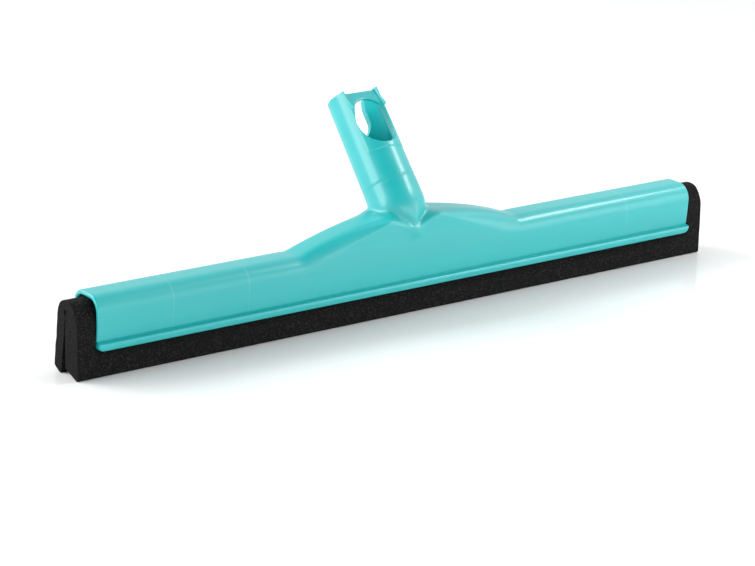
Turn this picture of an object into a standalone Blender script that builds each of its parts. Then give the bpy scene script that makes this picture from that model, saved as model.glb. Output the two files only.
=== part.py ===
"""Squeegee head: a moulded rail with a saddle and neck, a click socket for a pole, and a double-lip strip.

The frame has X along the strip, -Y to the front, +Y to the back (the side that the socket leans to) and
Z = 0 on the floor. Sections are drawn about the rail's middle plane, and the finished head is then moved
along Y so that its bounding box is centred on the origin.
"""
import math

import bmesh
import bpy
from mathutils import Vector

MM = 0.001
GAP = 0.3 * MM                      # clearance between touching pieces

# Lengths along X
STRIP_HALF = 225.0 * MM             # the strip is a standard 450 mm one
RAIL_HALF = 213.0 * MM
SADDLE_HALF = 78.0 * MM             # where the saddle starts to rise from the rail
FACE_HALF = 68.0 * MM               # where the saddle's front face starts to rise

# Rail section: crown arc, corner arcs, walls that pinch in, and a bead along each lower edge
WALL = 2.7 * MM
RAIL_TOP = 46.4 * MM
RAIL_HALF_WIDTH = 13.3 * MM
CORNER_RADIUS = 8.5 * MM
CROWN_RADIUS = 28.0 * MM
CORNER_Z = 37.3 * MM
GROOVE_Z = 20.8 * MM
GROOVE_HALF_WIDTH = 12.0 * MM
BEAD_HALF_WIDTH = 15.0 * MM
BEAD_TOP_Z = 20.0 * MM
RAIL_FOOT_Z = 15.4 * MM
GRIP_DEPTH = 0.8 * MM               # the grip rib inside each wall
GRIP_Z = 17.2 * MM

# Saddle
SADDLE_RISE = 14.0 * MM             # ridge height above the rail's top, at the middle
FACE_RISE = 29.1 * MM               # rise of the front face's edge, as if carried on to the middle
FACE_TOP = 57.5 * MM
SADDLE_WALL = 2.8 * MM
CORE_HALF = 62.0 * MM

# Socket: s runs up the socket's axis from AXIS_POINT
LEAN = math.radians(41.0)
AXIS_POINT = Vector((0.0, 4.7 * MM, 60.0 * MM))
AXIS = Vector((0.0, math.sin(LEAN), math.cos(LEAN)))
FRONT = Vector((0.0, -math.cos(LEAN), math.sin(LEAN)))
SEAM_S = 13.5 * MM
RIM_S = 75.0 * MM
SEAM_RADIUS = 16.4 * MM
RIM_RADIUS = 15.5 * MM
BORE_RADIUS = 12.7 * MM
SPIGOT_RADIUS = 13.9 * MM
SPIGOT_LENGTH = 5.0 * MM
FLOOR_S = 8.2 * MM                  # flat floor that stops the pole
SEAT_S = 8.5 * MM                   # ledge round the floor, under the spigot
FLOOR_RADIUS = 12.4 * MM
FLOOR_THICKNESS = 3.2 * MM
PLUG_LOW_S = -2.0 * MM
PLUG_LOW_RADIUS = 12.5 * MM
NECK_CORE_LOW_S = -8.0 * MM
NECK_CORE_RADIUS = 9.5 * MM

# Neck between the seam and the saddle
NECK_FOOT_Z = 45.5 * MM
NECK_FOOT_HALF_WIDTH = 22.0 * MM
NECK_FOOT_DEPTH = 11.2 * MM
NECK_FLARE = 18.0 * MM              # how far the sides swing out as they run in
NECK_DROP = 16.0 * MM
NECK_PULL = 24.0 * MM               # how long the neck follows the socket's axis

# Front window, bridge over it and slot at the back
WINDOW_S = 52.2 * MM
WINDOW_HALF_WIDTH = 11.6 * MM
WINDOW_HALF_LENGTH = 15.8 * MM
WINDOW_POWER = 2.15
RECESS_HALF_WIDTH = 11.4 * MM
RECESS_RIM_DEPTH = 7.6 * MM         # distance of the bridge's face from the axis, at the rim
RECESS_END_DEPTH = 14.2 * MM
RECESS_END_S = 50.0 * MM
BRIDGE_WALL = 2.4 * MM
BRIDGE_LOW_S = 61.5 * MM
BRIDGE_TOP_S = 73.8 * MM
SLOT_HALF_WIDTH = 10.6 * MM
SLOT_CENTRE_S = 60.5 * MM
SLOT_MOUTH_HALF_WIDTH = 12.2 * MM
CUT_REACH = 26.0 * MM               # how far from the axis the cutters run, clear of the barrel

# Strip section
ARCH_HALF_WIDTH = 9.9 * MM
ARCH_TOP = 43.3 * MM
ARCH_SPRING_Z = 31.0 * MM
WAIST_HALF_WIDTH = 8.7 * MM
FRONT_FACE_Y = -11.2 * MM
FRONT_LIP_INNER_Y = 1.2 * MM
REAR_LIP_INNER_Y = 7.3 * MM
REAR_LIP_OUTER_Y = 14.0 * MM
REAR_BEVEL_Z = 2.6 * MM
SLIT_Y = 1.4 * MM
SLIT_TOP_Z = 36.8 * MM
SLIT_HALF_WIDTH = 0.55 * MM
EYE_RADIUS = 1.0 * MM

# Facets
RING_SIDES = 64
ARC_STEPS = 8
WINDOW_POINTS = 48
SLOT_POINTS = 24
SADDLE_STATIONS = 28
NECK_STEPS = 10


def clear_scene():
    for old in list(bpy.data.objects):
        bpy.data.objects.remove(old)


def material(name, colour, roughness):
    mat = bpy.data.materials.new(name)
    mat.use_nodes = True
    shader = mat.node_tree.nodes["Principled BSDF"]
    shader.inputs["Base Color"].default_value = (*colour, 1.0)
    shader.inputs["Roughness"].default_value = roughness
    shader.inputs["Metallic"].default_value = 0.0
    return mat


def add_object(name, bm, mat=None):
    """Make an object from a bmesh, with its faces turned outward."""
    bmesh.ops.remove_doubles(bm, verts=bm.verts, dist=0.00001)
    bmesh.ops.recalc_face_normals(bm, faces=bm.faces)
    mesh = bpy.data.meshes.new(name)
    bm.to_mesh(mesh)
    bm.free()
    obj = bpy.data.objects.new(name, mesh)
    bpy.context.scene.collection.objects.link(obj)
    if mat:
        mesh.materials.append(mat)
    return obj


def arc(centre, radius, start, end, steps):
    """Points on a circle in a section plane, angles in degrees from +Y towards +Z."""
    points = []
    for i in range(steps + 1):
        angle = math.radians(start + (end - start) * i / steps)
        points.append((centre[0] + radius * math.cos(angle), centre[1] + radius * math.sin(angle)))
    return points


def mirrored(half):
    """Close a section whose +Y half is given from the top centre down."""
    left = [(-y, z) for y, z in reversed(half) if y > 1e-7]
    return half + left


def ring_face(bm, points):
    return bm.faces.new([bm.verts.new(p) for p in points])


def prism(name, section, x_low, x_high, mat=None):
    """Extrude a (y, z) section along X."""
    bm = bmesh.new()
    face = ring_face(bm, [(x_low, y, z) for y, z in section])
    moved = bmesh.ops.extrude_face_region(bm, geom=[face])["geom"]
    verts = [item for item in moved if isinstance(item, bmesh.types.BMVert)]
    bmesh.ops.translate(bm, verts=verts, vec=(x_high - x_low, 0.0, 0.0))
    return add_object(name, bm, mat)


def loft(name, rings, mat=None):
    """Skin a row of rings with the same number of points and cap both ends."""
    bm = bmesh.new()
    rows = [[bm.verts.new(p) for p in ring] for ring in rings]
    for low, high in zip(rows, rows[1:]):
        for i in range(len(low)):
            j = (i + 1) % len(low)
            bm.faces.new((low[i], low[j], high[j], high[i]))
    bm.faces.new(rows[0])
    bm.faces.new(rows[-1])
    return add_object(name, bm, mat)


def boolean(obj, tool, operation, solver='EXACT'):
    """Join or cut with another object, which stays as a hidden guide."""
    modifier = obj.modifiers.new(tool.name, 'BOOLEAN')
    modifier.operation = operation
    modifier.solver = solver
    modifier.object = tool
    tool.hide_render = True
    tool.display_type = 'WIRE'


def on_axis(s, across=0.0, out=0.0):
    """Point at s up the socket's axis, moved by across along X and by out to the socket's front."""
    return AXIS_POINT + s * AXIS + Vector((across, 0.0, 0.0)) + out * FRONT


def socket_ring(s, radius):
    points = []
    for i in range(RING_SIDES):
        angle = 2.0 * math.pi * i / RING_SIDES
        points.append(on_axis(s, radius * math.sin(angle), radius * math.cos(angle)))
    return points


def socket_cone(name, s_low, r_low, s_high, r_high, mat=None):
    return loft(name, [socket_ring(s_low, r_low), socket_ring(s_high, r_high)], mat)


def socket_prism(name, outline, out_low, out_high):
    """Prism through the socket's wall: the outline is (across, s), swept along the socket's front."""
    low = [on_axis(s, across, out_low) for across, s in outline]
    high = [on_axis(s, across, out_high) for across, s in outline]
    return loft(name, [low, high])


# ---- rail, saddle and neck ----

def rail_crown(inset):
    """Half of the rail's top: the crown arc runs on smoothly into the corner arc."""
    crown_centre = (0.0, RAIL_TOP - CROWN_RADIUS)
    corner_centre = (RAIL_HALF_WIDTH - CORNER_RADIUS, CORNER_Z)
    junction = math.degrees(math.atan2(corner_centre[1] - crown_centre[1], corner_centre[0]))
    half = arc(crown_centre, CROWN_RADIUS - inset, 90.0, junction, ARC_STEPS // 2)
    return half + arc(corner_centre, CORNER_RADIUS - inset, junction, 0.0, ARC_STEPS)[1:]


def rail_outer_section():
    half = rail_crown(0.0)
    half += [(GROOVE_HALF_WIDTH, GROOVE_Z)]
    half += [(BEAD_HALF_WIDTH - 0.5 * MM, BEAD_TOP_Z + 0.2 * MM)]
    half += [(BEAD_HALF_WIDTH, BEAD_TOP_Z - 0.6 * MM)]
    half += [(BEAD_HALF_WIDTH - 0.8 * MM, RAIL_FOOT_Z + 0.7 * MM)]
    half += [(BEAD_HALF_WIDTH - 2.2 * MM, RAIL_FOOT_Z)]
    return mirrored(half)


def rail_inner_section():
    """Inside of the rail, carried on below its foot so that it cuts the rail open."""
    foot_y = GROOVE_HALF_WIDTH - WALL + 0.4 * MM
    half = rail_crown(WALL)
    half += [(foot_y, GRIP_Z + 2.0 * MM)]
    half += [(foot_y - GRIP_DEPTH, GRIP_Z)]
    half += [(foot_y, GRIP_Z - 1.2 * MM)]
    half += [(foot_y + 0.4 * MM, RAIL_FOOT_Z - 2.0 * MM)]
    return mirrored(half)


def ridge_z(x):
    return RAIL_TOP + SADDLE_RISE * (1.0 - (x / SADDLE_HALF) ** 2)


def face_z(x):
    rise = FACE_RISE * max(0.0, 1.0 - abs(x) / FACE_HALF)
    return min(CORNER_Z + rise, FACE_TOP, ridge_z(x) - 3.5 * MM)


def saddle_ring(x, inset, foot):
    """Section of the saddle at x: two upright faces joined by an elliptic crown."""
    wide = RAIL_HALF_WIDTH - inset
    low = max(face_z(x), foot + 0.5 * MM)
    top = ridge_z(x) - inset
    points = [(x, wide - 0.1 * MM, foot)]
    steps = 2 * ARC_STEPS
    for i in range(steps + 1):
        angle = math.pi * i / steps
        points.append((x, wide * math.cos(angle), low + (top - low) * math.sin(angle)))
    points.append((x, -wide + 0.1 * MM, foot))
    return points


def saddle(name, half_length, inset, foot):
    rings = []
    for i in range(SADDLE_STATIONS + 1):
        x = half_length * (2.0 * i / SADDLE_STATIONS - 1.0)
        rings.append(saddle_ring(x, inset, foot))
    return loft(name, rings)


def hermite(p0, t0, p1, t1, u):
    a = 2 * u ** 3 - 3 * u ** 2 + 1
    b = u ** 3 - 2 * u ** 2 + u
    c = 3 * u ** 2 - 2 * u ** 3
    d = u ** 3 - u ** 2
    return a * p0 + b * t0 + c * p1 + d * t1


def neck_foot(angle):
    """Where the neck runs into the saddle, and the direction it runs in there."""
    side = math.sin(angle)
    ahead = math.cos(angle)
    point = Vector((NECK_FOOT_HALF_WIDTH * side, -NECK_FOOT_DEPTH * ahead, NECK_FOOT_Z))
    direction = Vector((NECK_FLARE * side, 0.0, -NECK_DROP))
    return point, direction


def neck():
    """Skin between the round seam and the saddle, on curves that leave the seam along the axis."""
    top = socket_ring(SEAM_S, SEAM_RADIUS)
    rings = []
    for step in range(NECK_STEPS + 1):
        ring = []
        for i, start in enumerate(top):
            foot, direction = neck_foot(2.0 * math.pi * i / RING_SIDES)
            ring.append(hermite(start, -AXIS * NECK_PULL, foot, direction, step / NECK_STEPS))
        rings.append(ring)
    return loft("neck_guide", rings)


def build_rail_body(mat):
    body = prism("rail_body", rail_outer_section(), -RAIL_HALF, RAIL_HALF, mat)
    boolean(body, saddle("saddle_guide", SADDLE_HALF, 0.0, CORNER_Z - 0.8 * MM), 'UNION')
    boolean(body, neck(), 'UNION', 'MANIFOLD')
    core_foot = RAIL_TOP - WALL - 6.0 * MM
    boolean(body, saddle("saddle_core", CORE_HALF, SADDLE_WALL, core_foot), 'DIFFERENCE')
    boolean(body, prism("channel", rail_inner_section(), -STRIP_HALF, STRIP_HALF), 'DIFFERENCE')
    plug = socket_cone("floor_plug", PLUG_LOW_S, PLUG_LOW_RADIUS, SEAM_S - MM, SEAM_RADIUS - 0.7 * MM)
    boolean(body, plug, 'UNION')
    core_top = FLOOR_S - FLOOR_THICKNESS
    core = socket_cone("neck_core", NECK_CORE_LOW_S, NECK_CORE_RADIUS, core_top, NECK_CORE_RADIUS)
    boolean(body, core, 'DIFFERENCE')
    bore_radius = SPIGOT_RADIUS + GAP
    boolean(body, socket_cone("neck_bore", SEAT_S, bore_radius, SEAM_S + 6.0 * MM, bore_radius), 'DIFFERENCE')
    boolean(body, socket_cone("floor_pocket", FLOOR_S, FLOOR_RADIUS, SEAM_S, FLOOR_RADIUS), 'DIFFERENCE')
    return body


# ---- click socket ----

def window_outline():
    points = []
    for i in range(WINDOW_POINTS):
        angle = 2.0 * math.pi * i / WINDOW_POINTS
        c = math.cos(angle)
        s = math.sin(angle)
        across = math.copysign(abs(c) ** (2.0 / WINDOW_POWER), c) * WINDOW_HALF_WIDTH
        along = math.copysign(abs(s) ** (2.0 / WINDOW_POWER), s) * WINDOW_HALF_LENGTH
        points.append((across, WINDOW_S + along))
    return points


def slot_outline():
    points = []
    for i in range(SLOT_POINTS + 1):
        angle = math.pi + math.pi * i / SLOT_POINTS
        across = SLOT_HALF_WIDTH * math.cos(angle)
        points.append((across, SLOT_CENTRE_S + SLOT_HALF_WIDTH * math.sin(angle)))
    points.append((SLOT_HALF_WIDTH, RIM_S - 6.0 * MM))
    points.append((SLOT_MOUTH_HALF_WIDTH, RIM_S + 4.0 * MM))
    points.append((-SLOT_MOUTH_HALF_WIDTH, RIM_S + 4.0 * MM))
    points.append((-SLOT_HALF_WIDTH, RIM_S - 6.0 * MM))
    return points


def recess_depth(s):
    """Distance of the bridge's face from the axis."""
    return RECESS_END_DEPTH + (RECESS_RIM_DEPTH - RECESS_END_DEPTH) * (s - RECESS_END_S) / (RIM_S - RECESS_END_S)


def slab(name, half_width, corners):
    """Prism along X with the corners given as (s, out)."""
    low = [on_axis(s, -half_width, out) for s, out in corners]
    high = [on_axis(s, half_width, out) for s, out in corners]
    return loft(name, [low, high])


def build_click_socket(mat):
    seam = SEAM_S + GAP
    sleeve = socket_cone("click_socket", seam, SEAM_RADIUS - 0.1 * MM, RIM_S, RIM_RADIUS, mat)
    spigot = socket_cone("spigot", seam - SPIGOT_LENGTH, SPIGOT_RADIUS, seam + 2.0 * MM, SPIGOT_RADIUS)
    boolean(sleeve, spigot, 'UNION')
    bore = socket_cone("pole_bore", 0.0, BORE_RADIUS, RIM_S + 5.0 * MM, BORE_RADIUS)
    boolean(sleeve, bore, 'DIFFERENCE')
    low_face = recess_depth(BRIDGE_LOW_S)
    top_face = recess_depth(BRIDGE_TOP_S)
    bridge = [(BRIDGE_LOW_S, low_face - BRIDGE_WALL), (BRIDGE_TOP_S, top_face - BRIDGE_WALL)]
    bridge += [(BRIDGE_TOP_S, top_face + MM), (BRIDGE_LOW_S, BORE_RADIUS + 0.8 * MM)]
    boolean(sleeve, slab("bridge", RECESS_HALF_WIDTH + 0.4 * MM, bridge), 'UNION')
    above = [(RECESS_END_S, RECESS_END_DEPTH), (RIM_S + 4.0 * MM, recess_depth(RIM_S + 4.0 * MM))]
    above += [(RIM_S + 4.0 * MM, CUT_REACH), (RECESS_END_S, CUT_REACH)]
    boolean(sleeve, slab("recess", RECESS_HALF_WIDTH, above), 'DIFFERENCE')
    window = socket_prism("window", window_outline(), 2.0 * MM, CUT_REACH)
    boolean(sleeve, window, 'DIFFERENCE', 'MANIFOLD')
    boolean(sleeve, socket_prism("back_slot", slot_outline(), -CUT_REACH, -2.0 * MM), 'DIFFERENCE')
    return sleeve


# ---- strip ----

def strip_section():
    """Arch in the rail, two lips below it, and the slit that parts them, with a round eye at its top."""
    side_z = 22.0 * MM
    waist_top = GRIP_Z + 2.6 * MM
    waist_low = RAIL_FOOT_Z - 0.3 * MM
    rise = ARCH_TOP - ARCH_SPRING_Z
    outline = [(REAR_LIP_INNER_Y, 0.0), (REAR_LIP_INNER_Y + 1.4 * MM, 0.0)]
    outline += [(REAR_LIP_OUTER_Y, REAR_BEVEL_Z), (REAR_LIP_OUTER_Y - 0.3 * MM, 6.0 * MM)]
    outline += [(WAIST_HALF_WIDTH, waist_low - 0.4 * MM), (WAIST_HALF_WIDTH - GRIP_DEPTH, GRIP_Z - 0.5 * MM)]
    outline += [(WAIST_HALF_WIDTH, waist_top), (ARCH_HALF_WIDTH - 0.7 * MM, side_z + 3.0 * MM)]
    for i in range(2 * ARC_STEPS + 1):
        angle = math.pi * i / (2 * ARC_STEPS)
        outline.append((ARCH_HALF_WIDTH * math.cos(angle), ARCH_SPRING_Z + rise * math.sin(angle)))
    outline += [(-ARCH_HALF_WIDTH + 0.7 * MM, side_z + 3.0 * MM), (-WAIST_HALF_WIDTH, waist_top)]
    outline += [(-WAIST_HALF_WIDTH + GRIP_DEPTH, GRIP_Z - 0.5 * MM), (-WAIST_HALF_WIDTH, waist_low - 0.4 * MM)]
    outline += [(FRONT_FACE_Y, waist_low - 2.5 * MM), (FRONT_FACE_Y, 0.8 * MM), (FRONT_FACE_Y + 0.8 * MM, 0.0)]
    outline += [(FRONT_LIP_INNER_Y, 0.0), (FRONT_LIP_INNER_Y + 0.9 * MM, 6.0 * MM)]
    outline += [(SLIT_Y + SLIT_HALF_WIDTH * 0.2, 27.0 * MM), (SLIT_Y - SLIT_HALF_WIDTH, SLIT_TOP_Z - EYE_RADIUS)]
    outline += arc((SLIT_Y, SLIT_TOP_Z), EYE_RADIUS, 215.0, -35.0, ARC_STEPS)
    outline += [(SLIT_Y + SLIT_HALF_WIDTH, SLIT_TOP_Z - EYE_RADIUS), (SLIT_Y + 1.7 * MM, 27.0 * MM)]
    return outline


def build_foam_strip(mat):
    return prism("foam_strip", strip_section(), -STRIP_HALF, STRIP_HALF, mat)


def centre_on_origin(parts, guides):
    """Move everything along Y so that the finished head's box is centred."""
    bpy.context.view_layer.update()
    graph = bpy.context.evaluated_depsgraph_get()
    reach = []
    for obj in parts:
        mesh = obj.evaluated_get(graph).to_mesh()
        reach += [v.co.y for v in mesh.vertices]
    shift = -0.5 * (min(reach) + max(reach))
    for obj in parts + guides:
        obj.location.y = shift


def main():
    clear_scene()
    turquoise = material("moulded_turquoise", (0.10, 0.62, 0.60), 0.25)
    black = material("cellular_rubber", (0.015, 0.015, 0.016), 0.85)
    parts = [build_rail_body(turquoise), build_click_socket(turquoise), build_foam_strip(black)]
    guides = [obj for obj in bpy.data.objects if obj not in parts]
    centre_on_origin(parts, guides)


main()
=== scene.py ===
"""Looks of a window squeegee head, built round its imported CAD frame.

Everything is in metres. X runs along the strip, -Y is the front, +Y the back and Z = 0 the floor.
Sections are drawn about the rail's middle plane and moved along Y to where the frame has it.
"""
import math

import bmesh
import bpy
import numpy as np
from bpy.props import FloatProperty, IntProperty, PointerProperty, StringProperty
from mathutils import Matrix, Vector


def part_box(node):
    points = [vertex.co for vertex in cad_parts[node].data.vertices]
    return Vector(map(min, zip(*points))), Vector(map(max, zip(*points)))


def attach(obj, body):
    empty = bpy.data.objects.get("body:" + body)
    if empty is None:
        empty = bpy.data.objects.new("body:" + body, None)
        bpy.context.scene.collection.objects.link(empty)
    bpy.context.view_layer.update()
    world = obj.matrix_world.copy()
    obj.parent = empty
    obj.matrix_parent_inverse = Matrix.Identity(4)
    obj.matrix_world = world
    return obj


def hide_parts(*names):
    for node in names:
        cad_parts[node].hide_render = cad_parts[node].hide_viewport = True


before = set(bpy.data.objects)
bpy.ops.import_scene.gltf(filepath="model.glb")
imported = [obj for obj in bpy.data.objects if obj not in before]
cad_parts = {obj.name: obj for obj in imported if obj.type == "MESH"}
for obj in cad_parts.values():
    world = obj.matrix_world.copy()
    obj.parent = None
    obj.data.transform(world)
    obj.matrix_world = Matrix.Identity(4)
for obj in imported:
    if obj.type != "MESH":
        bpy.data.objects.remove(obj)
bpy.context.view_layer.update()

bl_info = {
    "name": "Squeegee head",
    "version": (1, 0, 0),
    "blender": (4, 5, 0),
    "location": "3D View > Sidebar > Squeegee",
    "description": "Builds a moulded squeegee head with its click socket and cellular rubber strip",
    "category": "Add Mesh",
}

MM = 0.001
RAIL_LOW, RAIL_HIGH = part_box("rail_body")

# The rail's section, about its middle plane
BEAD_HALF_WIDTH = 15.0 * MM
MIDDLE_Y = RAIL_LOW.y + BEAD_HALF_WIDTH
FOOT_Z = RAIL_LOW.z
RAIL_HALF = RAIL_HIGH.x
WALL = 2.7 * MM
TOP_Z = 46.4 * MM
HALF_WIDTH = 13.3 * MM
CORNER_RADIUS = 8.5 * MM
CORNER_Z = 37.3 * MM
CROWN = 0.6 * MM
GROOVE_Z = 21.3 * MM
GROOVE_HALF_WIDTH = 12.0 * MM
FLAT_HALF = HALF_WIDTH - CORNER_RADIUS
CORNER_RISE = CORNER_RADIUS + CROWN
RIB_FADE = 0.5 * MM                 # the wall is this much thinner just above the grip rib
CURL_REACH = 4.0 * MM               # the bead and foot curl up over this length at the rail's ends
CURL_LIFT = 3.0 * MM

# Saddle: ridge and front edge along X
RIDGE_HALF = 78.0 * MM
RIDGE_RISE = 14.0 * MM
EDGE_HALF = 68.0 * MM
EDGE_RISE = 29.1 * MM
DIP_Z = 51.0 * MM                   # the front edge dips to here under the neck's keel
DIP_SLOPE = 0.42
CREASE_DEPTH = 0.3 * MM             # shallow crease where the ridge meets the rail's plain top
CREASE_WIDTH = 4.0 * MM
SHOULDER_DIP = 0.25                 # how flat the saddle's front shoulder lies in front of the keel
SHOULDER_DIP_HALF = 13.0 * MM

# Socket axis and neck
LEAN = math.radians(41.0)
ACROSS = np.array((1.0, 0.0, 0.0))
AXIS = np.array((0.0, math.sin(LEAN), math.cos(LEAN)))
AHEAD = np.array((0.0, -math.cos(LEAN), math.sin(LEAN)))
AXIS_POINT = np.array((0.0, 4.7 * MM, 60.0 * MM))
SEAM_S = 13.5 * MM
SEAM_RADIUS = 16.4 * MM
RIM_S = 75.0 * MM
RIM_RADIUS = 15.5 * MM
BORE_RADIUS = 12.7 * MM
SPIGOT_BORE_RADIUS = 14.2 * MM
FLOOR_S = 8.2 * MM
KEEL_Y = -13.0 * MM
KEEL_SWEEP = math.radians(36.0)     # how far each flank turns back from the keel
KEEL_CREST = 0.6 * MM               # rounding of the keel's crest at its tip
KEEL_CREST_GAIN = 9.0 * MM          # what the crest's rounding gains further up, and where it does
KEEL_CREST_START = 3.0 * MM
KEEL_CREST_REACH = 14.0 * MM
NECK_UNDER_DIP = 1.0 * MM           # the neck ends this far below the dip at the front
NECK_DEPTH = 30.0 * MM              # and runs on down by this much behind the front face
FRONT_FILLET = 5.0 * MM             # the neck's blend at the keel's foot
FRONT_FILLET_Y = -10.0 * MM         # from here on back the blend widens to the neck's fillet
FRONT_FILLET_REACH = 12.0 * MM
SEAM_LIP = 0.25 * MM                # the neck's rounded lip stands this far above the seam

# Socket's skin, with heights along its axis
SKIN_GAP = 0.1 * MM                 # the barrel is this much slimmer than the neck at the seam
SNAP = 0.16 * MM                    # points nearer than this to the true barrel or bore are moved onto it
HORN_S = 50.0 * MM                  # the rim's horns are softened more than the rest from here up
LANDING_S = 33.0 * MM               # the flat landing round the window stands a little proud of the barrel
LANDING_HALF = 12.4 * MM
LANDING_RISE = 0.3 * MM
LIP_RISE = 0.8 * MM                 # a fine groove runs round this far above the seam
LIP_DEPTH = 0.2 * MM
FOOT_RISE = 1.2 * MM                # below this the foot is let down to close the seam
FOOT_DROP = 0.3 * MM
BORE_SKIN = 0.12 * MM               # faces up to this far outside the bore count as its wall, and take the bore's painted shade

# Cells of the rail's skin
WALL_STEPS = 14
CORNER_STEPS = 14
TOP_STEPS = 6
SPACING = 1.5 * MM                  # between stations along the saddle
SADDLE_CELLS = 56
PLAIN_STATIONS = 24
CURL_CELLS = 6
RIM_CELLS = 5
NECK_CELLS = 18                     # the neck's patch spans this many stations to each side
FRONT_STOP = WALL_STEPS - 3         # wall rows where the neck's patch starts on the front and on the back
BACK_STOP = WALL_STEPS - 8
NECK_RINGS = 34
NECK_ROUNDS = 140                   # smoothing rounds of the patch
NEWTON_STEP = 0.02 * MM

# Fine lines left by the mould's inserts, drawn twice as wide as they are so that they show; their whitening in the base
# colour is a painted highlight
WITNESS_LINES = (-165.0 * MM, -115.5 * MM, 162.0 * MM)
WITNESS_HALF_WIDTH = 0.35 * MM
WITNESS_FADE = (22.0 * MM, 42.0 * MM)     # they, bump and painted highlight alike, grow from a quarter to full strength over these heights

# Strip
STRIP_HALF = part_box("foam_strip")[1].x
FULL_BULGE = 1.5 * MM               # the swelling that the free end's section is drawn with
BULGE_START = RAIL_HALF - 3.0 * MM  # the strip starts to swell just inside the rail's mouth
BULGE_REACH = 5.0 * MM
CUT_EDGE = 0.25 * MM                # the cut ends draw in over this length, by this share of it
CUT_EDGE_SHARE = 0.32
LIP_TOP = 10.0 * MM
LIP_WOBBLE = 0.035 * MM

# Stage
CAMERA_PLACE = (-0.9057, -1.2467, 0.5066)
CAMERA_TURN = math.radians(-35.98)
CAMERA_DOWN = math.radians(17.91)
CAMERA_ROLL = math.radians(1.216)
CAMERA_LENS = 129.37                # mm, on a sensor 36 mm wide
FLOOR_HALF = 8.0
FLOOR_Z = -0.02 * MM                # just under the lips, so that the two never share a plane
FLAG_DIRECTION = (-0.2, -0.45, 0.87)      # the surroundings are dark up here, which keeps the top's colour deep
LIGHTS = (
    # name, place, target, size, share of the key light's power
    ("face_softbox", (0.78, -0.78, 0.22), (0.08, 0.0, 0.04), (0.6, 0.6), 0.12),      # pales the face's right half
    ("high_softbox", (0.58, -0.26, 0.68), (0.12, 0.0, 0.05), (0.42, 0.15), 0.13),    # line along the crown
    ("left_softbox", (-1.5, 0.25, 0.6), (0.0, 0.0, 0.05), (0.8, 0.8), 0.5),          # left side of the socket
    ("front_fill", (-0.2, -2.2, 0.5), (0.0, 0.0, 0.04), (2.0, 1.0), 0.72),
    ("floor_wash", (-2.0, 2.6, 2.2), (0.9, 1.5, 0.0), (2.5, 1.5), 5.0),              # lifts the floor to white
)


# ---- settings ----

class SqueegeeShape(bpy.types.PropertyGroup):
    fillet: FloatProperty(
        name="Neck fillet", description="Blend between the neck and the saddle",
        default=9.0 * MM, min=0.001, max=0.012, unit='LENGTH')
    keel_softness: FloatProperty(
        name="Keel softness", description="Rounding of the keel in front of the neck",
        default=6.0 * MM, min=0.0005, max=0.008, unit='LENGTH')
    rim_round: FloatProperty(
        name="Rim rounding", description="Rounding of the rail's open ends",
        default=1.15 * MM, min=0.0002, max=0.0013, unit='LENGTH')
    socket_voxel: FloatProperty(
        name="Socket detail", description="Cell size of the socket's skin",
        default=0.36 * MM, min=0.0002, max=0.001, unit='LENGTH')
    strip_bulge: FloatProperty(
        name="Strip bulge", description="How far the free ends of the strip swell past the part in the rail",
        default=FULL_BULGE, min=0.0, max=0.003, unit='LENGTH')
    seed: IntProperty(name="Seed", description="Seed of the fine unevenness of the cut strip", default=7)


class SqueegeeLook(bpy.types.PropertyGroup):
    plastic: StringProperty(
        name="Plastic", description="Colour of the moulded plastic, as sRGB hex", default="#07B2B4")
    rubber: StringProperty(
        name="Rubber", description="Colour of the strip's skin, as sRGB hex", default="#090A0B")
    speck: StringProperty(
        name="Specks", description="Colour of the open cells' lit edges, as sRGB hex", default="#433F3C")
    gloss: FloatProperty(
        name="Plastic roughness", description="Roughness of the moulded plastic",
        default=0.46, min=0.0, max=1.0, subtype='FACTOR')
    key_power: FloatProperty(
        name="Key light", description="Power that the lights take their shares of", default=22.0, min=0.0, unit='POWER')
    world_light: FloatProperty(
        name="Surrounding light", description="Brightness of the white surroundings", default=0.95, min=0.0)


# ---- shared tools ----

def linear(hex_colour):
    """sRGB hex to the linear RGBA that shaders use."""
    channels = [int(hex_colour[i:i + 2], 16) / 255.0 for i in (1, 3, 5)]
    rgb = [c / 12.92 if c <= 0.04045 else ((c + 0.055) / 1.055) ** 2.4 for c in channels]
    return (*rgb, 1.0)


def add_node(mat, kind, settings=(), values=(), links=()):
    """Add a shader node: settings are its properties, values its sockets, links (socket, node, output)."""
    node = mat.node_tree.nodes.new(kind)
    for name, value in dict(settings).items():
        setattr(node, name, value)
    for name, value in dict(values).items():
        node.inputs[name].default_value = value
    for name, source, output in links:
        mat.node_tree.links.new(source.outputs[output], node.inputs[name])
    return node


def new_material(name):
    """A node material and its main shader."""
    mat = bpy.data.materials.new(name)
    mat.use_nodes = True
    return mat, mat.node_tree.nodes["Principled BSDF"]


def plug(mat, source, output, node, name):
    """Link one node's output to another's input."""
    mat.node_tree.links.new(source.outputs[output], node.inputs[name])


def smooth_min(a, b, width):
    """Smaller of a and b, blended where they differ by less than width."""
    h = np.clip(0.5 + 0.5 * (b - a) / width, 0.0, 1.0)
    return b + (a - b) * h - width * h * (1.0 - h)


def smooth_max(a, b, width):
    return -smooth_min(-a, -b, width)


def smooth_step(t):
    t = np.clip(t, 0.0, 1.0)
    return t * t * (3.0 - 2.0 * t)


def rounded(points, radii):
    """Polyline with its inner corners rounded by short curves."""
    out = [points[0]]
    for i in range(1, len(points) - 1):
        before, corner, after = (np.array(points[j], float) for j in (i - 1, i, i + 1))
        if not radii[i]:
            out.append(tuple(corner))
            continue
        start, end = (
            corner + side / np.linalg.norm(side) * min(radii[i], 0.45 * np.linalg.norm(side))
            for side in (before - corner, after - corner))
        for u in np.linspace(0.0, 1.0, 5):
            out.append(tuple((1 - u) ** 2 * start + 2 * u * (1 - u) * corner + u * u * end))
    out.append(points[-1])
    return out


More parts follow.
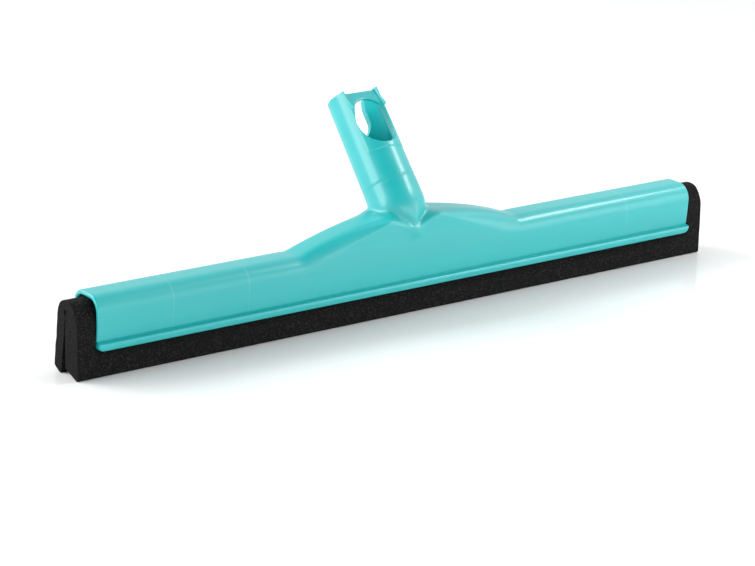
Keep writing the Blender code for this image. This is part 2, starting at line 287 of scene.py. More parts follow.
def resampled(points, count):
    """The same polyline with count points at even spacing."""
    points = np.array(points, float)
    lengths = np.concatenate(([0.0], np.cumsum(np.linalg.norm(np.diff(points, axis=0), axis=1))))
    where = np.linspace(0.0, lengths[-1], count)
    return np.stack([np.interp(where, lengths, points[:, k]) for k in range(2)], axis=1)


def make_object(name, verts, faces, mat, sharp=40.0):
    """Link a smooth-shaded object whose edges stay sharp above the given angle."""
    mesh = bpy.data.meshes.new(name)
    mesh.from_pydata([tuple(v) for v in verts], [], [tuple(f) for f in faces])
    bm = bmesh.new()
    bm.from_mesh(mesh)
    bmesh.ops.remove_doubles(bm, verts=bm.verts, dist=0.004 * MM)
    bmesh.ops.recalc_face_normals(bm, faces=bm.faces)
    bm.to_mesh(mesh)
    bm.free()
    mesh.shade_smooth()
    mesh.set_sharp_from_angle(angle=math.radians(sharp))
    mesh.materials.append(mat)
    obj = bpy.data.objects.new(name, mesh)
    bpy.context.scene.collection.objects.link(obj)
    return obj


def placed(points):
    """Section coordinates to the frame's."""
    return np.asarray(points) + np.array((0.0, MIDDLE_Y, 0.0))


def axis_ring(s, radius, angle):
    """Points round the socket's axis at the height s along it."""
    return AXIS_POINT + s * AXIS + radius * (np.sin(angle)[:, None] * ACROSS + np.cos(angle)[:, None] * AHEAD)


def mesh_values(items, name, width=1, kind=float):
    """One property of all of a mesh's points, corners or faces as an array."""
    values = np.zeros(len(items) * width, dtype=kind)
    items.foreach_get(name, values)
    return values.reshape(-1, width) if width > 1 else values


# ---- materials ----

def moulded_polypropylene(look, name, grain_along, shine=1.0):
    """Injection-moulded polypropylene: a soft gloss, slightly milky, with faint flow marks and a fine mould grain."""
    mat, shader = new_material(name)
    place = add_node(mat, "ShaderNodeTexCoord")
    stretch = add_node(
        mat, "ShaderNodeMapping", values={"Scale": (4.0, 60.0, 60.0) if grain_along else (50.0, 50.0, 50.0)},
        links=[("Vector", place, "Object")])
    flow = add_node(mat, "ShaderNodeTexNoise", values={"Scale": 1.0, "Detail": 3.0}, links=[("Vector", stretch, 0)])
    grain = add_node(mat, "ShaderNodeTexNoise", values={"Scale": 2500.0, "Detail": 2.0},
                     links=[("Vector", place, "Object")])
    tint = add_node(mat, "ShaderNodeValToRGB", links=[("Fac", flow, 0)])
    base = np.array(linear(look.plastic)[:3])
    for stop, position, factor in zip(tint.color_ramp.elements, (0.3, 0.7), (0.95, 1.04)):
        stop.position = position
        stop.color = (*np.minimum(base * factor, 1.0), 1.0)
    rough = add_node(mat, "ShaderNodeMapRange", values={
        "From Min": 0.3, "From Max": 0.7, "To Min": look.gloss - 0.03, "To Max": look.gloss + 0.04},
        links=[("Value", flow, 0)])
    plug(mat, rough, 0, shader, "Roughness")
    bump = add_node(mat, "ShaderNodeBump", values={"Strength": 0.06, "Distance": 0.00003},
                    links=[("Height", grain, 0)])
    if grain_along:
        lines = mould_lines(mat, place)
        bump = add_node(mat, "ShaderNodeBump", values={"Strength": 0.25, "Distance": 0.0001},
                        links=[("Height", lines, 0), ("Normal", bump, 0)])
        # Painted highlight: the witness lines are whitened in the base colour, up to 0.11 of the way to white
        painted_line_highlight = add_node(mat, "ShaderNodeMath", {"operation": 'MULTIPLY'}, {1: 0.11}, [(0, lines, 0)])
        line_highlighted_colour = add_node(mat, "ShaderNodeMix", {"data_type": 'RGBA'}, {7: (1.0, 1.0, 1.0, 1.0)},
                            [(0, painted_line_highlight, 0), (6, tint, 0)])
        plug(mat, line_highlighted_colour, 2, shader, "Base Color")
    else:
        plug(mat, tint, 0, shader, "Base Color")
    plug(mat, bump, 0, shader, "Normal")
    for name, value in (("IOR", 1.49), ("Subsurface Weight", 0.12), ("Subsurface Radius", (0.4, 1.0, 1.0)),
                        ("Subsurface Scale", 1.5 * MM), ("Specular IOR Level", 0.8 * shine),
                        ("Coat Weight", 0.4 * shine), ("Coat Roughness", 0.14)):
        shader.inputs[name].default_value = value
    return mat


def mould_lines(mat, place):
    """Mask of the fine witness lines across the rail, where inserts of the mould meet; it drives their bump and their
    painted highlight.
    """
    along = add_node(mat, "ShaderNodeSeparateXYZ", links=[("Vector", place, "Object")])
    mask = add_node(mat, "ShaderNodeValue")     # starts at 0
    for x in WITNESS_LINES:
        offset = add_node(mat, "ShaderNodeMath", {"operation": 'SUBTRACT'}, {1: x}, [(0, along, "X")])
        away = add_node(mat, "ShaderNodeMath", {"operation": 'ABSOLUTE'}, links=[(0, offset, 0)])
        ridge = add_node(mat, "ShaderNodeMapRange", links=[("Value", away, 0)],
                         values={"From Max": WITNESS_HALF_WIDTH, "To Min": 1.0, "To Max": 0.0})
        mask = add_node(mat, "ShaderNodeMath", {"operation": 'MAXIMUM'}, links=[(0, mask, 0), (1, ridge, 0)])
    fade = add_node(mat, "ShaderNodeMapRange", links=[("Value", along, "Z")],
                    values={"From Min": WITNESS_FADE[0], "From Max": WITNESS_FADE[1], "To Min": 0.25})
    return add_node(mat, "ShaderNodeMath", {"operation": 'MULTIPLY'}, links=[(0, mask, 0), (1, fade, 0)])


def cellular_rubber(look, name, cell_size, speck_share, roughness):
    """Closed-cell neoprene foam: matte and nearly black, with pin-prick cells that catch the light."""
    mat, shader = new_material(name)
    place = add_node(mat, "ShaderNodeTexCoord")
    cells = add_node(mat, "ShaderNodeTexVoronoi", values={"Scale": 1.0 / cell_size, "Randomness": 1.0},
                     links=[("Vector", place, "Object")])
    fine = add_node(mat, "ShaderNodeTexNoise", values={"Scale": 0.7 / cell_size, "Detail": 4.0, "Roughness": 0.7},
                    links=[("Vector", place, "Object")])
    pores = add_node(mat, "ShaderNodeMapRange", values={"From Min": 0.12, "From Max": 0.42},
                     links=[("Value", cells, "Distance")])
    lit = add_node(mat, "ShaderNodeMapRange", values={"From Min": speck_share, "From Max": speck_share + 0.22},
                   links=[("Value", fine, 0)])
    colour = add_node(mat, "ShaderNodeMix", {"data_type": 'RGBA'}, links=[("Factor", lit, 0)])
    colour.inputs[6].default_value = linear(look.rubber)
    colour.inputs[7].default_value = linear(look.speck)
    plug(mat, colour, 2, shader, "Base Color")
    height = add_node(mat, "ShaderNodeMath", {"operation": 'ADD'}, links=[(0, pores, 0), (1, fine, 0)])
    bump = add_node(mat, "ShaderNodeBump", values={"Strength": 0.7, "Distance": 0.0002},
                    links=[("Height", height, 0)])
    plug(mat, bump, 0, shader, "Normal")
    for name, value in (("Roughness", roughness), ("IOR", 1.5), ("Specular IOR Level", 0.15)):
        shader.inputs[name].default_value = value
    return mat


def white_laminate():
    """Smooth white laminate: even, with a weak mirror at low angles."""
    mat, shader = new_material("white_laminate")
    place = add_node(mat, "ShaderNodeTexCoord")
    haze = add_node(mat, "ShaderNodeTexNoise", values={"Scale": 2.0}, links=[("Vector", place, "Object")])
    rough = add_node(mat, "ShaderNodeMapRange", values={"To Min": 0.10, "To Max": 0.14}, links=[("Value", haze, 0)])
    plug(mat, rough, 0, shader, "Roughness")
    shader.inputs["Base Color"].default_value = linear("#F7F8F8")
    shader.inputs["Specular IOR Level"].default_value = 0.15
    return mat


# ---- rail, saddle and neck ----

def ridge_z(x):
    """Height of the saddle's ridge."""
    arch = TOP_Z + RIDGE_RISE * (1.0 - (x / RIDGE_HALF) ** 2)
    crease = CREASE_DEPTH * np.exp(-((np.abs(x) - RIDGE_HALF) / CREASE_WIDTH) ** 2)
    return smooth_max(arch, TOP_Z, 1.2 * MM) - crease


def edge_z(x):
    """Height of the front face's soft upper edge."""
    away = np.abs(x)
    rising = CORNER_Z + EDGE_RISE * (1.0 - away / EDGE_HALF)
    dipped = smooth_min(rising, DIP_Z + DIP_SLOPE * np.sqrt(away ** 2 + (2 * MM) ** 2), 3.0 * MM)
    return smooth_max(dipped, CORNER_Z, 1.5 * MM)


def wall_y(z):
    """Half-width of the rail below its corner: it pinches in towards the groove."""
    down = np.clip((CORNER_Z - z) / (CORNER_Z - GROOVE_Z), 0.0, 1.0)
    return HALF_WIDTH - (HALF_WIDTH - GROOVE_HALF_WIDTH) * down ** 1.5


def crown(y):
    """Bulge of the top between its rounded corners."""
    return CROWN * np.maximum(0.0, 1.0 - (y / HALF_WIDTH) ** 2)


def saddle_distance(p):
    """Roughly the distance to the rail and saddle's outer skin, negative inside."""
    x, y, z = p.T
    edge = edge_z(x)
    stretch = (ridge_z(x) - edge) / CORNER_RISE
    shoulder = np.exp(-(x / SHOULDER_DIP_HALF) ** 2) * smooth_step((-y - 3.0 * MM) / (5.0 * MM))
    stretch = stretch + (SHOULDER_DIP - stretch) * shoulder
    up = (z - edge) / stretch - crown(y)
    out = np.maximum(np.abs(y) - FLAT_HALF, 0.0)
    over = np.hypot(out, np.maximum(up, 0.0)) - CORNER_RADIUS
    return np.where(up > 0.0, over, np.abs(y) - wall_y(z))


def neck_distance(p, shape):
    """Roughly the distance to the neck: a round post cut at the front by the keel's two flanks."""
    q = p - AXIS_POINT
    s = q @ AXIS
    post = np.linalg.norm(q - s[:, None] * AXIS, axis=1) - SEAM_RADIUS
    x, y, z = p.T
    crest = KEEL_CREST + KEEL_CREST_GAIN * smooth_step((z - DIP_Z - KEEL_CREST_START) / KEEL_CREST_REACH)
    side = np.sqrt(x ** 2 + crest ** 2) - (crest - KEEL_CREST)
    flank = (KEEL_Y - y) * math.cos(KEEL_SWEEP) + side * math.sin(KEEL_SWEEP)
    below = DIP_Z - NECK_UNDER_DIP - z - NECK_DEPTH * smooth_step((y + 12.0 * MM) / (10.0 * MM))
    return smooth_max(smooth_max(post, flank, shape.keel_softness), below, 2.0 * MM)


def body_distance(p, shape):
    """Saddle and neck as one skin, with a tighter blend at the front."""
    back = smooth_step((p[:, 1] - FRONT_FILLET_Y) / FRONT_FILLET_REACH)
    width = FRONT_FILLET + (shape.fillet - FRONT_FILLET) * back
    return smooth_min(saddle_distance(p), neck_distance(p, shape), width)


def onto_body(p, shape, rounds):
    """Move points onto the blended skin by Newton steps."""
    for _ in range(rounds):
        f = body_distance(p, shape)
        slope = np.stack([(body_distance(p + NEWTON_STEP * axis, shape) - f) / NEWTON_STEP for axis in np.eye(3)],
                         axis=1)
        size = np.maximum((slope ** 2).sum(axis=1), 0.2)
        move = -(f / size)[:, None] * slope
        p = p + np.clip(move, -2 * MM, 2 * MM)
    return p


def outer_foot():
    """Foot, bead and groove of the outer skin on the +Y side, from the foot's inner edge up."""
    points = [(10.4, 15.4), (13.0, 15.4), (14.3, 16.1), (15.0, 18.9), (14.5, 20.0), (12.2, 20.3), (11.3, 20.8)]
    points = [(y * MM, z * MM) for y, z in points] + [(GROOVE_HALF_WIDTH, GROOVE_Z)]
    radii = [0.0, 0.5 * MM, 0.6 * MM, 0.7 * MM, 0.5 * MM, 0.3 * MM, 0.25 * MM, 0.0]
    return rounded(points, radii)


def inner_foot():
    """Inside of the wall, with the grip rib that holds the strip, from the foot up."""
    points = [(10.0, 15.4), (9.7, 16.2), (8.9, 17.2), (9.7, 19.2), (9.8, 21.3)]
    radii = [0.0, 0.3 * MM, 0.4 * MM, 0.3 * MM, 0.0]
    return rounded([(y * MM, z * MM) for y, z in points], radii)


def outer_half(x):
    """The outer skin at x on the +Y side, from the foot to the top's middle."""
    edge = float(edge_z(np.array([x]))[0])
    stretch = (float(ridge_z(np.array([x]))[0]) - edge) / CORNER_RISE
    points = outer_foot()
    for i in range(1, WALL_STEPS):
        z = GROOVE_Z + (edge - GROOVE_Z) * i / WALL_STEPS
        points.append((float(wall_y(z)), z))
    for i in range(CORNER_STEPS):
        angle = 0.5 * math.pi * i / CORNER_STEPS
        y = FLAT_HALF + CORNER_RADIUS * math.cos(angle)
        points.append((y, edge + stretch * (CORNER_RADIUS * math.sin(angle) + crown(y))))
    for i in range(TOP_STEPS + 1):
        y = FLAT_HALF * (1.0 - i / TOP_STEPS)
        points.append((y, edge + stretch * (CORNER_RADIUS + crown(y))))
    return points


def inner_half():
    """The channel's skin with as many points as the outer one."""
    points = [tuple(p) for p in resampled(inner_foot(), len(outer_foot()))]
    for i in range(1, WALL_STEPS):
        z = GROOVE_Z + (CORNER_Z - GROOVE_Z) * i / WALL_STEPS
        points.append((float(wall_y(z)) - WALL + RIB_FADE * (1.0 - i / WALL_STEPS), z))
    for i in range(CORNER_STEPS):
        angle = 0.5 * math.pi * i / CORNER_STEPS
        y = FLAT_HALF + (CORNER_RADIUS - WALL) * math.cos(angle)
        points.append((y, CORNER_Z + (CORNER_RADIUS - WALL) * math.sin(angle) + crown(y)))
    for i in range(TOP_STEPS + 1):
        y = FLAT_HALF * (1.0 - i / TOP_STEPS)
        points.append((y, CORNER_Z + CORNER_RADIUS - WALL + crown(y)))
    return points


def whole(half):
    """Both sides of a section whose +Y half ends at the middle, from the -Y foot over to the +Y foot."""
    left = [(-y, z) for y, z in half]
    return np.array(left + half[-2::-1])


def foot_lift(x):
    """The bead and foot curl up into a rounded corner at the rail's ends."""
    near = np.clip((abs(x) - (RAIL_HALF - CURL_REACH)) / CURL_REACH, 0.0, 1.0)
    return CURL_LIFT * (1.0 - math.sqrt(1.0 - 0.98 * near ** 2))


def lifted(section, x):
    """Raise the foot's points at the rail's ends, fading out above the bead."""
    moved = section.copy()
    moved[:, 1] += foot_lift(x) * np.clip((GROOVE_Z - section[:, 1]) / (GROOVE_Z - FOOT_Z), 0.0, 1.0)
    return moved


def rail_stations(rim):
    """Stations along X with how deep the end rim's rounding is at each, from one end to the other."""
    saddle = [SPACING * i for i in range(1, SADDLE_CELLS + 1)]
    plain = list(np.linspace(saddle[-1], RAIL_HALF - CURL_REACH, PLAIN_STATIONS))[1:]
    curl = [RAIL_HALF - CURL_REACH + (CURL_REACH - rim) * i / CURL_CELLS for i in range(1, CURL_CELLS)]
    turns = [0.5 * math.pi * i / RIM_CELLS for i in range(RIM_CELLS + 1)]
    end = [(RAIL_HALF - rim * (1.0 - math.sin(a)), rim * (1.0 - math.cos(a))) for a in turns]
    right = [(x, 0.0) for x in saddle + plain + curl] + end
    return [(-x, d) for x, d in reversed(right)] + [(0.0, 0.0)] + right


def neck_patch(grid, centre, shape):
    """Rings from the seam down over the saddle to the edge of the opening left for them in the grid."""
    count = len(grid[0])
    foot = len(outer_foot())
    first = foot - 1 + FRONT_STOP
    last = count - 1 - (foot - 1 + BACK_STOP)
    left, right = centre - NECK_CELLS, centre + NECK_CELLS
    loop = [(i, first) for i in range(centre, right)]
    loop += [(right, j) for j in range(first, last)]
    loop += [(i, last) for i in range(right, left, -1)]
    loop += [(left, j) for j in range(last, first, -1)]
    loop += [(i, first) for i in range(left, centre)]
    edge = np.array([grid[i][j] for i, j in loop])
    steps = np.linalg.norm(np.roll(edge, -1, axis=0) - edge, axis=1)
    along = np.concatenate(([0.0], np.cumsum(steps)))[:-1] / steps.sum()
    angle = 2.0 * math.pi * along
    seam = axis_ring(SEAM_S, SEAM_RADIUS, angle)
    t = np.linspace(0.0, 1.0, NECK_RINGS + 1)[:, None, None]
    pull = -AXIS * 30.0 * MM            # how the rings leave the seam, and how they come in to the opening's edge
    out = np.stack((np.sin(angle) * 30.0 * MM, -np.cos(angle) * 4.0 * MM, np.zeros_like(angle)), axis=1)
    rings = ((2 * t ** 3 - 3 * t ** 2 + 1) * seam + (t ** 3 - 2 * t ** 2 + t) * pull
             + (3 * t ** 2 - 2 * t ** 3) * edge + (t ** 3 - t ** 2) * out)
    for _ in range(NECK_ROUNDS):
        inner = rings[1:-1]
        mean = 0.25 * (rings[:-2] + rings[2:] + np.roll(inner, 1, axis=1) + np.roll(inner, -1, axis=1))
        moved = onto_body((0.4 * inner + 0.6 * mean).reshape(-1, 3), shape, 1)
        rings[1:-1] = moved.reshape(inner.shape)
    rings[1:-1] = onto_body(rings[1:-1].reshape(-1, 3), shape, 4).reshape(rings[1:-1].shape)
    return rings, loop, (left, right, first, last), angle


def neck_mouth(angle):
    """Rings that round the neck's lip, go down the bore and reach its floor."""
    profile = [(SEAM_S + 0.16 * MM, SEAM_RADIUS - 0.08 * MM), (SEAM_S + SEAM_LIP, SEAM_RADIUS - 0.3 * MM),
               (SEAM_S + SEAM_LIP, SPIGOT_BORE_RADIUS + 0.2 * MM), (SEAM_S, SPIGOT_BORE_RADIUS),
               (FLOOR_S, SPIGOT_BORE_RADIUS)]
    return [axis_ring(s, radius, angle) for s, radius in profile]


def build_rail(shape, mat):
    """Rail, saddle and neck as one skin: a grid along X with the neck's patch let into it."""
    stations = rail_stations(shape.rim_round)
    inner = whole(inner_half())
    outer_grid, inner_grid = [], []
    for x, deep in stations:
        outer = lifted(whole(outer_half(x)), x)
        channel = lifted(inner, x)
        across = channel - outer
        across /= np.maximum(np.linalg.norm(across, axis=1), 1e-9)[:, None]
        outer = outer + across * deep
        near = channel - across * deep
        outer_grid.append([(x, y, z) for y, z in outer])
        inner_grid.append([(x, y, z) for y, z in near])
    rings, loop, hole, angle = neck_patch(outer_grid, len(stations) // 2, shape)
    left, right, first, last = hole
    rows, count = len(stations), len(outer_grid[0])
    verts = [p for row in outer_grid + inner_grid for p in row]
    base = rows * count
    faces = []
    for i in range(rows - 1):
        for j in range(count - 1):
            a, b, c, d = i * count + j, (i + 1) * count + j, (i + 1) * count + j + 1, i * count + j + 1
            if not (left <= i < right and first <= j < last):
                faces.append((a, b, c, d))
            faces.append((base + a, base + d, base + c, base + b))
        for j in (0, count - 1):
            a, b = i * count + j, (i + 1) * count + j
            faces.append((a, b, base + b, base + a))
    for i in (0, rows - 1):
        for j in range(count - 1):
            a, b = i * count + j, i * count + j + 1
            faces.append((a, b, base + b, base + a))
    edge_ids = [i * count + j for i, j in loop]
    ring_ids = []
    for ring in neck_mouth(angle)[::-1] + list(rings[:-1]):
        start = len(verts)
        verts += [tuple(p) for p in ring]
        ring_ids.append(list(range(start, start + len(ring))))
    ring_ids.append(edge_ids)
    n = len(edge_ids)
    for low, high in zip(ring_ids, ring_ids[1:]):
        for k in range(n):
            m = (k + 1) % n
            faces.append((low[k], low[m], high[m], high[k]))
    middle = len(verts)
    verts.append(tuple(AXIS_POINT + FLOOR_S * AXIS))
    for k in range(n):
        faces.append((ring_ids[0][(k + 1) % n], ring_ids[0][k], middle))
    rail = make_object("rail_with_neck", placed(verts), faces, mat, 38.0)
    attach(rail, "head")
    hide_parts("rail_body")
    return rail


# ---- click socket ----

def apply_modifiers(obj):
    """Bake the object's modifiers into its mesh."""
    graph = bpy.context.evaluated_depsgraph_get()
    mesh = bpy.data.meshes.new_from_object(obj.evaluated_get(graph))
    obj.modifiers.clear()
    obj.data = mesh


def build_socket(shape, mat, bore_shade_mat):
    """Fine skin over the socket's frame: rounded edges, with the barrel and bore brought back to true cones."""
    obj = bpy.data.objects.new("click_socket_shell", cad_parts["click_socket"].data.copy())
    bpy.context.scene.collection.objects.link(obj)
    remesh = obj.modifiers.new("skin", 'REMESH')
    remesh.mode = 'VOXEL'
    remesh.voxel_size = shape.socket_voxel
    apply_modifiers(obj)
    q = mesh_values(obj.data.vertices, "co", 3) - placed(AXIS_POINT)
    near = smooth_step((q @ AXIS - HORN_S) / (6.0 * MM)) * smooth_step((q @ AHEAD - 1.0 * MM) / (3.0 * MM))
    crest = obj.vertex_groups.new(name="crest")
    for i, weight in enumerate(near):
        if weight > 0.01:
            crest.add([i], float(weight), 'REPLACE')
    for name, group, rounds in (("soften", "", 5), ("soften_crest", "crest", 22)):
        soften = obj.modifiers.new(name, 'SMOOTH')
        soften.factor = 0.5
        soften.iterations = rounds
        soften.vertex_group = group
    apply_modifiers(obj)
    mesh = obj.data
    co = mesh_values(mesh.vertices, "co", 3)
    q = co - placed(AXIS_POINT)
    s = q @ AXIS
    away = q - s[:, None] * AXIS
    radius = np.linalg.norm(away, axis=1)
    cone = SEAM_RADIUS - SKIN_GAP + (RIM_RADIUS - SEAM_RADIUS + SKIN_GAP) * (s - SEAM_S) / (RIM_S - SEAM_S)
    for target in (cone, BORE_RADIUS):
        off = target - radius
        pull = smooth_step((SNAP - np.abs(off)) / (0.5 * SNAP)) * (s > SEAM_S)
        co += away / radius[:, None] * (off * pull)[:, None]
    outer = smooth_step((radius - cone + 0.5 * MM) / (0.3 * MM))
    landing = smooth_step((LANDING_HALF - np.abs(q[:, 0])) / (0.5 * MM)) * smooth_step((s - LANDING_S) / (0.6 * MM))
    landing *= (q @ AHEAD > 0.0)
    lip = np.exp(-((s - SEAM_S - LIP_RISE) / (0.7 * MM)) ** 2)
    foot = smooth_step((SEAM_S + FOOT_RISE - s) / (0.9 * MM)) * (radius > SPIGOT_BORE_RADIUS + 0.6 * MM)
    co -= AXIS * (FOOT_DROP * foot)[:, None]
    co += away / radius[:, None] * (outer * (LANDING_RISE * landing - LIP_DEPTH * lip))[:, None]
    mesh.vertices.foreach_set("co", co.ravel())
    mesh.update()
    mesh.shade_smooth()
    mesh.materials.clear()
    mesh.materials.append(mat)
    mesh.materials.append(bore_shade_mat)
    # Faces inside the bore take the second material, the dulled copy that paints shade into the bore
    first = mesh_values(mesh.loops, "vertex_index", 1, np.int32)[
        mesh_values(mesh.polygons, "loop_start", 1, np.int32)]
    inward = (mesh_values(mesh.polygons, "normal", 3) * away[first]).sum(axis=1) < 0.0
    inside = inward & (radius < BORE_RADIUS + BORE_SKIN)[first]
    mesh.polygons.foreach_set("material_index", inside.astype(np.int32))
    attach(obj, "head")
    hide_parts("click_socket")
    return obj


# ---- strip ----

def strip_outline(swell):
    """Section of the strip, as (y, z, rounding) in mm. swell is 0 in the rail's grip and 1 at the loose ends."""
    points = [(1.2, 0.0, 0.4), (-10.6, 0.0, 0.5), (-11.2, 0.8, 0.5), (-11.2 - 0.2 * swell, 11.5, 2.0),
              (-8.7 - 2.7 * swell, 14.7, 1.0), (-7.9 - 3.6 * swell, 17.0, 0.8), (-8.7 - 2.8 * swell, 19.8, 2.0),
              (-9.2 - 2.2 * swell, 25.0, 3.0)]
    square = 1.0 - 0.2 * swell          # the loose ends' crest is squarer than a half circle
    for a in np.radians(np.linspace(4.0, 176.0, 31)):
        side = (0.15 if math.cos(a) > 0.0 else 0.04) * swell * math.cos(a) ** 8
        wide = math.copysign(abs(math.cos(a)) ** square, math.cos(a))
        points.append((-9.8 * wide * (1.0 + side), 30.5 + 12.9 * math.sin(a) ** square, 0.0))
    points += [(9.2 + 2.1 * swell, 24.0, 3.0), (8.7 + 2.8 * swell, 19.8, 2.0), (7.9 + 4.4 * swell, 17.0, 0.8),
              (8.7 + 4.2 * swell, 14.7, 1.0), (13.1, 11.0, 2.0), (13.9, 6.0, 2.0), (14.0, 2.8, 0.8),
              (8.9, 0.1, 0.6), (7.3, 0.0, 0.4), (5.9, 6.0, 3.0), (2.9, 25.0, 2.0), (1.6, 34.4, 0.8)]
    turn = [(1.4 + 1.15 * math.cos(a), 36.8 + 1.15 * math.sin(a), 0.0)
            for a in np.radians(np.linspace(-50.0, 230.0, 13))]
    points += turn + [(1.2, 34.4, 0.8), (1.9, 25.0, 2.0), (2.0, 6.0, 2.0), (1.2, 0.0, 0.4)]
    outline = rounded([(y * MM, z * MM) for y, z, r in points], [r * MM for y, z, r in points])
    return np.array(outline[1:-1])


def strip_stations():
    """Stations along X: wide ones in the rail's grip, finer ones at the loose ends and their cut edges."""
    near = RAIL_HALF - 6.0 * MM
    right = list(np.linspace(0.0, near, 40)) + list(np.linspace(near, STRIP_HALF - 0.5 * MM, 16))[1:]
    right += [STRIP_HALF - 0.2 * MM, STRIP_HALF - 0.05 * MM, STRIP_HALF]
    return [-x for x in reversed(right[1:])] + right


def build_strip(shape, mat, cut_mat):
    """The strip as one skin along X, closed by two cut faces."""
    rng = np.random.default_rng(shape.seed)
    rows = []
    for x in strip_stations():
        free = float(smooth_step((abs(x) - BULGE_START) / BULGE_REACH))
        section = strip_outline(free * shape.strip_bulge / FULL_BULGE)
        toward = section.mean(axis=0) - section
        toward /= np.linalg.norm(toward, axis=1)[:, None]
        section = section + toward * CUT_EDGE_SHARE * max(0.0, CUT_EDGE - (STRIP_HALF - abs(x)))
        wobble = rng.normal(0.0, LIP_WOBBLE, 2)[0]
        section[:, 0] += wobble * (section[:, 1] < LIP_TOP)
        section[:, 1] = np.maximum(section[:, 1], 0.0)
        rows.append([(x, y, z) for y, z in section])
    count = len(rows[0])
    verts = [p for row in rows for p in row]
    faces = []
    for i in range(len(rows) - 1):
        for j in range(count):
            k = (j + 1) % count
            faces.append((i * count + j, (i + 1) * count + j, (i + 1) * count + k, i * count + k))
    mesh = bpy.data.meshes.new("cellular_strip")
    mesh.from_pydata([tuple(v) for v in placed(verts)], [], faces)
    bm = bmesh.new()
    bm.from_mesh(mesh)
    bm.verts.ensure_lookup_table()
    for i in (0, len(rows) - 1):
        cap = bm.faces.new([bm.verts[i * count + j] for j in range(count)])
        cap.material_index = 1
    bmesh.ops.recalc_face_normals(bm, faces=bm.faces)
    bmesh.ops.triangulate(bm, faces=[f for f in bm.faces if f.material_index == 1])
    bm.to_mesh(mesh)
    bm.free()
    mesh.shade_smooth()
    mesh.set_sharp_from_angle(angle=math.radians(42.0))
    mesh.materials.append(mat)
    mesh.materials.append(cut_mat)
    strip = bpy.data.objects.new("cellular_strip", mesh)
    bpy.context.scene.collection.objects.link(strip)
    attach(strip, "strip")
    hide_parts("foam_strip")
    return strip


# ---- stage ----

def area_light(name, place, target, size, power):
    """A rectangular softbox that faces its target."""
    data = bpy.data.lights.new(name, 'AREA')
    data.shape = 'RECTANGLE'
    data.size, data.size_y = size
    data.energy = power
    light = bpy.data.objects.new(name, data)
    light.location = place
    light.rotation_mode = 'QUATERNION'
    light.rotation_quaternion = (Vector(target) - Vector(place)).to_track_quat('-Z', 'Y')
    bpy.context.scene.collection.objects.link(light)


def build_camera():
    """A long lens, a little left of the front and above."""
    back = Vector((math.sin(CAMERA_TURN) * math.cos(CAMERA_DOWN), -math.cos(CAMERA_TURN) * math.cos(CAMERA_DOWN),
                   math.sin(CAMERA_DOWN)))
    right = (-back).cross(Vector((0.0, 0.0, 1.0))).normalized()
    up = right.cross(-back)
    rolled_right = math.cos(CAMERA_ROLL) * right + math.sin(CAMERA_ROLL) * up
    rolled_up = -math.sin(CAMERA_ROLL) * right + math.cos(CAMERA_ROLL) * up
    data = bpy.data.cameras.new("studio_camera")
    data.lens = CAMERA_LENS
    data.sensor_width = 36.0
    data.clip_start = 0.05
    data.clip_end = 50.0
    camera = bpy.data.objects.new("studio_camera", data)
    matrix = Matrix((rolled_right, rolled_up, back)).transposed().to_4x4()
    matrix.translation = Vector(CAMERA_PLACE)
    camera.matrix_world = matrix
    bpy.context.scene.collection.objects.link(camera)
    bpy.context.scene.camera = camera


def build_stage(look):
    """White floor, white surroundings with one dark patch overhead, the lights and the camera."""
    corners = [(-FLOOR_HALF, -FLOOR_HALF, 0), (FLOOR_HALF, -FLOOR_HALF, 0),
               (FLOOR_HALF, FLOOR_HALF, 0), (-FLOOR_HALF, FLOOR_HALF, 0)]
    floor = make_object("floor", corners, [(0, 1, 2, 3)], white_laminate())
    floor.location.z = FLOOR_Z
    world = bpy.data.worlds.new("white_studio")
    bpy.context.scene.world = world
    world.use_nodes = True
    background = world.node_tree.nodes["Background"]
    background.inputs["Strength"].default_value = look.world_light
    direction = add_node(world, "ShaderNodeTexCoord")
    overhead = add_node(world, "ShaderNodeVectorMath", {"operation": 'DOT_PRODUCT'},
                        {1: Vector(FLAG_DIRECTION).normalized()}, [(0, direction, "Generated")])
    flag = add_node(world, "ShaderNodeMapRange", links=[("Value", overhead, "Value")],
                    values={"From Min": 0.5, "From Max": 0.87, "To Min": 1.0, "To Max": 0.02})
    plug(world, flag, 0, background, "Color")
    for name, place, target, size, share in LIGHTS:
        area_light(name, place, target, size, look.key_power * share)
    bpy.context.scene.view_settings.view_transform = 'Standard'
    build_camera()


# ---- operators ----

class SQUEEGEE_OT_rail(bpy.types.Operator):
    """Build the rail with its saddle and neck"""
    bl_idname = "squeegee.rail"
    bl_label = "Rail and neck"

    def execute(self, context):
        look = context.scene.squeegee_look
        build_rail(context.scene.squeegee_shape, moulded_polypropylene(look, "moulded_polypropylene_rail", True))
        return {'FINISHED'}


class SQUEEGEE_OT_socket(bpy.types.Operator):
    """Build the click socket that takes the pole"""
    bl_idname = "squeegee.socket"
    bl_label = "Click socket"

    def execute(self, context):
        look = context.scene.squeegee_look
        skin = moulded_polypropylene(look, "moulded_polypropylene_socket", False)
        # Painted shade: the bore gets a copy of the plastic with its gloss and coat cut to 0.15, so it shows dark and
        # without glints
        bore = moulded_polypropylene(look, "painted_shade_polypropylene_bore", False, 0.15)
        build_socket(context.scene.squeegee_shape, skin, bore)
        return {'FINISHED'}


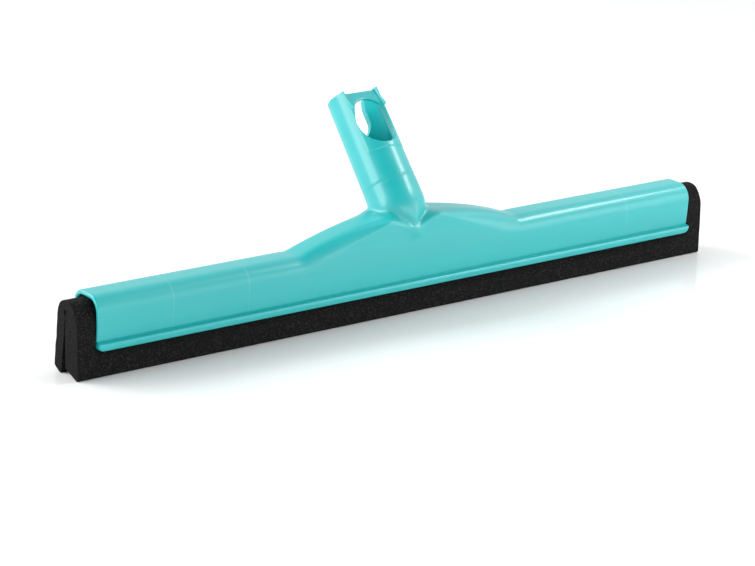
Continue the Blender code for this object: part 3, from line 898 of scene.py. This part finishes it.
class SQUEEGEE_OT_strip(bpy.types.Operator):
    """Build the double-lip cellular rubber strip"""
    bl_idname = "squeegee.strip"
    bl_label = "Rubber strip"

    def execute(self, context):
        look = context.scene.squeegee_look
        skin = cellular_rubber(look, "closed_cell_neoprene", 0.6 * MM, 0.52, 0.82)
        # The cut faces show larger opened cells and are more matt than the skin
        cut = cellular_rubber(look, "cut_closed_cell_neoprene", 0.7 * MM, 0.53, 0.9)
        build_strip(context.scene.squeegee_shape, skin, cut)
        return {'FINISHED'}


class SQUEEGEE_OT_stage(bpy.types.Operator):
    """Set up the floor, the lights and the camera"""
    bl_idname = "squeegee.stage"
    bl_label = "Stage"

    def execute(self, context):
        build_stage(context.scene.squeegee_look)
        return {'FINISHED'}


class SQUEEGEE_PT_panel(bpy.types.Panel):
    """Sidebar panel with the sizes, colours and buttons"""
    bl_idname = "SQUEEGEE_PT_panel"
    bl_label = "Squeegee head"
    bl_space_type = 'VIEW_3D'
    bl_region_type = 'UI'
    bl_category = "Squeegee"

    def draw(self, context):
        layout = self.layout
        for group in (context.scene.squeegee_shape, context.scene.squeegee_look):
            for name in group.__annotations__:
                layout.prop(group, name)
        for operator in OPERATORS:
            layout.operator(operator.bl_idname)


OPERATORS = (SQUEEGEE_OT_rail, SQUEEGEE_OT_socket, SQUEEGEE_OT_strip, SQUEEGEE_OT_stage)
CLASSES = (SqueegeeShape, SqueegeeLook) + OPERATORS + (SQUEEGEE_PT_panel,)


def register():
    for cls in CLASSES:
        bpy.utils.register_class(cls)
    bpy.types.Scene.squeegee_shape = PointerProperty(type=SqueegeeShape)
    bpy.types.Scene.squeegee_look = PointerProperty(type=SqueegeeLook)


def unregister():
    del bpy.types.Scene.squeegee_look
    del bpy.types.Scene.squeegee_shape
    for cls in reversed(CLASSES):
        bpy.utils.unregister_class(cls)


def main():
    register()
    bpy.ops.squeegee.rail()
    bpy.ops.squeegee.socket()
    bpy.ops.squeegee.strip()
    bpy.ops.squeegee.stage()


if __name__ == "__main__":
    main()
